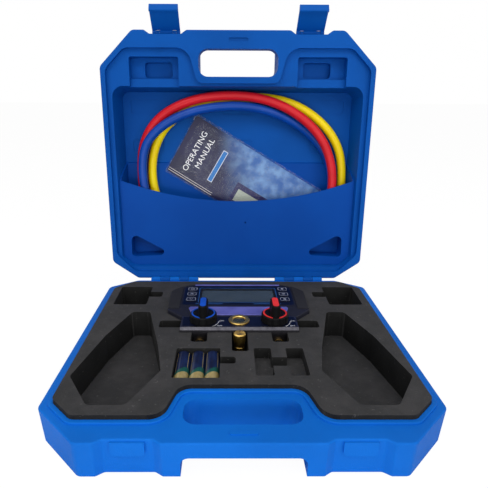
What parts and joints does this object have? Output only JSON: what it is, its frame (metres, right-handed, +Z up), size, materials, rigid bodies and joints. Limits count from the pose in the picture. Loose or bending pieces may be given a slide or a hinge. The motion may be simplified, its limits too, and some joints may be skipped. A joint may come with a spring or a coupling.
{
  "type": "refrigerant manifold gauge",
  "caption": "Digital refrigerant manifold gauge in a hinged blow-moulded case, with two valve knobs, sight glass, charging hoses in the lid pocket, cells and booklet.",
  "frame": {"origin": "centre of the base's underside", "axes": "+X to the right seen from the handle, +Y from the handle to the hinge, +Z up; the lid stands open"},
  "size_m": [0.3498, 0.3971, 0.3851],
  "materials": {
    "case_blue": "fine moulded grain",
    "foam": "closed-cell foam",
    "steel": "turned",
    "pocket_blue": "vacuum formed",
    "paper": "coated paper",
    "clear_film": "crinkled clear film",
    "hose_red": "smooth hose jacket",
    "hose_yellow": "smooth hose jacket",
    "hose_blue": "smooth hose jacket",
    "brass": "turned and knurled",
    "housing_blue": "moulded",
    "grip_rubber": "soft over-moulding",
    "label_navy": "printed film",
    "clear_lens": "clear window",
    "lcd_grey": "display",
    "board_green": "circuit board",
    "trim_violet": "satin",
    "key_grey": "soft keys",
    "block_anodised": "dark anodised",
    "sight_glass": "clear glass",
    "cap_black": "moulded",
    "knob_black": "moulded",
    "accent_blue": "moulded",
    "accent_red": "moulded",
    "battery_wrap": "printed wrap"
  },
  "bodies": {
    "root": {"base_shell": "case_blue", "foam_base": "foam", "foam_left": "foam", "foam_right": "foam", "foam_back": "foam", "foam_front_left": "foam", "foam_front_right": "foam", "hinge_pins": "steel", "gauge_rear_housing": "housing_blue", "gauge_front_housing": "housing_blue", "side_grips": "grip_rubber", "face_label": "label_navy", "lcd_lens": "clear_lens", "lcd_module": "lcd_grey", "circuit_board": "board_green", "housing_screws": "steel", "battery_door": "housing_blue", "trim_band": "trim_violet", "trim_bar": "trim_violet", "manifold_block": "block_anodised", "block_plate": "label_navy", "sight_glass_ring": "brass", "sight_glass_lens": "sight_glass", "pressure_sensors": "steel", "side_port_fittings": "brass", "side_port_caps": "cap_black", "centre_port_fitting": "brass", "centre_port_cap": "brass", "aa_batteries": "battery_wrap"},
    "lid": {"lid_shell": "case_blue", "hose_pocket": "pocket_blue", "latch_pins": "steel", "manual_booklet": "paper", "manual_sleeve": "clear_film", "hose_red": "hose_red", "hose_yellow": "hose_yellow", "hose_blue": "hose_blue", "hose_red_ends": "brass", "hose_yellow_ends": "brass", "hose_blue_ends": "brass"},
    "latch_left": {"latch_left": "case_blue"},
    "latch_right": {"latch_right": "case_blue"},
    "low_knob": {"low_valve_stem": "steel", "low_knob": "knob_black", "low_knob_accents": "accent_blue"},
    "high_knob": {"high_valve_stem": "steel", "high_knob": "knob_black", "high_knob_accents": "accent_red"},
    "key_left_1": {"key_left_1": "key_grey"},
    "key_left_2": {"key_left_2": "key_grey"},
    "key_left_3": {"key_left_3": "key_grey"},
    "key_right_1": {"key_right_1": "key_grey"},
    "key_right_2": {"key_right_2": "key_grey"},
    "key_right_3": {"key_right_3": "key_grey"},
    "hose_red_nut_a": {"hose_red_nut_a": "brass"},
    "hose_red_nut_b": {"hose_red_nut_b": "brass"},
    "hose_yellow_nut_a": {"hose_yellow_nut_a": "brass"},
    "hose_yellow_nut_b": {"hose_yellow_nut_b": "brass"},
    "hose_blue_nut_a": {"hose_blue_nut_a": "brass"},
    "hose_blue_nut_b": {"hose_blue_nut_b": "brass"}
  },
  "joints": [
    {"name": "lid_hinge", "type": "hinge", "parent": "root", "child": "lid", "pos_m": [0, 0.1635, 0.034], "axis": [1, 0, 0], "range_deg": [0, 94]},
    {"name": "latch_left_hinge", "type": "hinge", "parent": "lid", "child": "latch_left", "pos_m": [-0.091, 0.20235, 0.35597], "axis": [-1, 0, 0], "range_deg": [-42, 55]},
    {"name": "latch_right_hinge", "type": "hinge", "parent": "lid", "child": "latch_right", "pos_m": [0.091, 0.20235, 0.35597], "axis": [-1, 0, 0], "range_deg": [-42, 55]},
    {"name": "low_valve_turn", "type": "hinge", "parent": "root", "child": "low_knob", "pos_m": [-0.04, 0.0185, 0.045], "axis": [0, 0, 1], "range_deg": [0, 90]},
    {"name": "high_valve_turn", "type": "hinge", "parent": "root", "child": "high_knob", "pos_m": [0.04, 0.0185, 0.045], "axis": [0, 0, 1], "range_deg": [-90, 0]},
    {"name": "key_left_1_press", "type": "slide", "parent": "root", "child": "key_left_1", "axis": [0, 0, -1], "range_m": [0, 0.0008], "stiffness_N_per_m": 250},
    {"name": "key_left_2_press", "type": "slide", "parent": "root", "child": "key_left_2", "axis": [0, 0, -1], "range_m": [0, 0.0008], "stiffness_N_per_m": 250},
    {"name": "key_left_3_press", "type": "slide", "parent": "root", "child": "key_left_3", "axis": [0, 0, -1], "range_m": [0, 0.0008], "stiffness_N_per_m": 250},
    {"name": "key_right_1_press", "type": "slide", "parent": "root", "child": "key_right_1", "axis": [0, 0, -1], "range_m": [0, 0.0008], "stiffness_N_per_m": 250},
    {"name": "key_right_2_press", "type": "slide", "parent": "root", "child": "key_right_2", "axis": [0, 0, -1], "range_m": [0, 0.0008], "stiffness_N_per_m": 250},
    {"name": "key_right_3_press", "type": "slide", "parent": "root", "child": "key_right_3", "axis": [0, 0, -1], "range_m": [0, 0.0008], "stiffness_N_per_m": 250},
    {"name": "hose_red_swivel_a", "type": "hinge", "parent": "lid", "child": "hose_red_nut_a", "pos_m": [-0.015, 0.20186, 0.06511], "axis": [1, -0.0007, -0.0095], "continuous": true},
    {"name": "hose_red_swivel_b", "type": "hinge", "parent": "lid", "child": "hose_red_nut_b", "pos_m": [-0.06597, 0.19144, 0.08764], "axis": [-0.999, 0.0395, -0.021], "continuous": true},
    {"name": "hose_yellow_swivel_a", "type": "hinge", "parent": "lid", "child": "hose_yellow_nut_a", "pos_m": [0.014, 0.20413, 0.09749], "axis": [0.9999, -0.001, -0.0142], "continuous": true},
    {"name": "hose_yellow_swivel_b", "type": "hinge", "parent": "lid", "child": "hose_yellow_nut_b", "pos_m": [0.016, 0.20186, 0.06511], "axis": [-1, -0.0007, -0.0095], "continuous": true},
    {"name": "hose_blue_swivel_a", "type": "hinge", "parent": "lid", "child": "hose_blue_nut_a", "pos_m": [0.06997, 0.19318, 0.10911], "axis": [0.9991, 0.0422, -0.0029], "continuous": true},
    {"name": "hose_blue_swivel_b", "type": "hinge", "parent": "lid", "child": "hose_blue_nut_b", "pos_m": [-0.012, 0.20195, 0.08156], "axis": [-0.9999, 0.0143, -0.0069], "continuous": true}
  ]
}
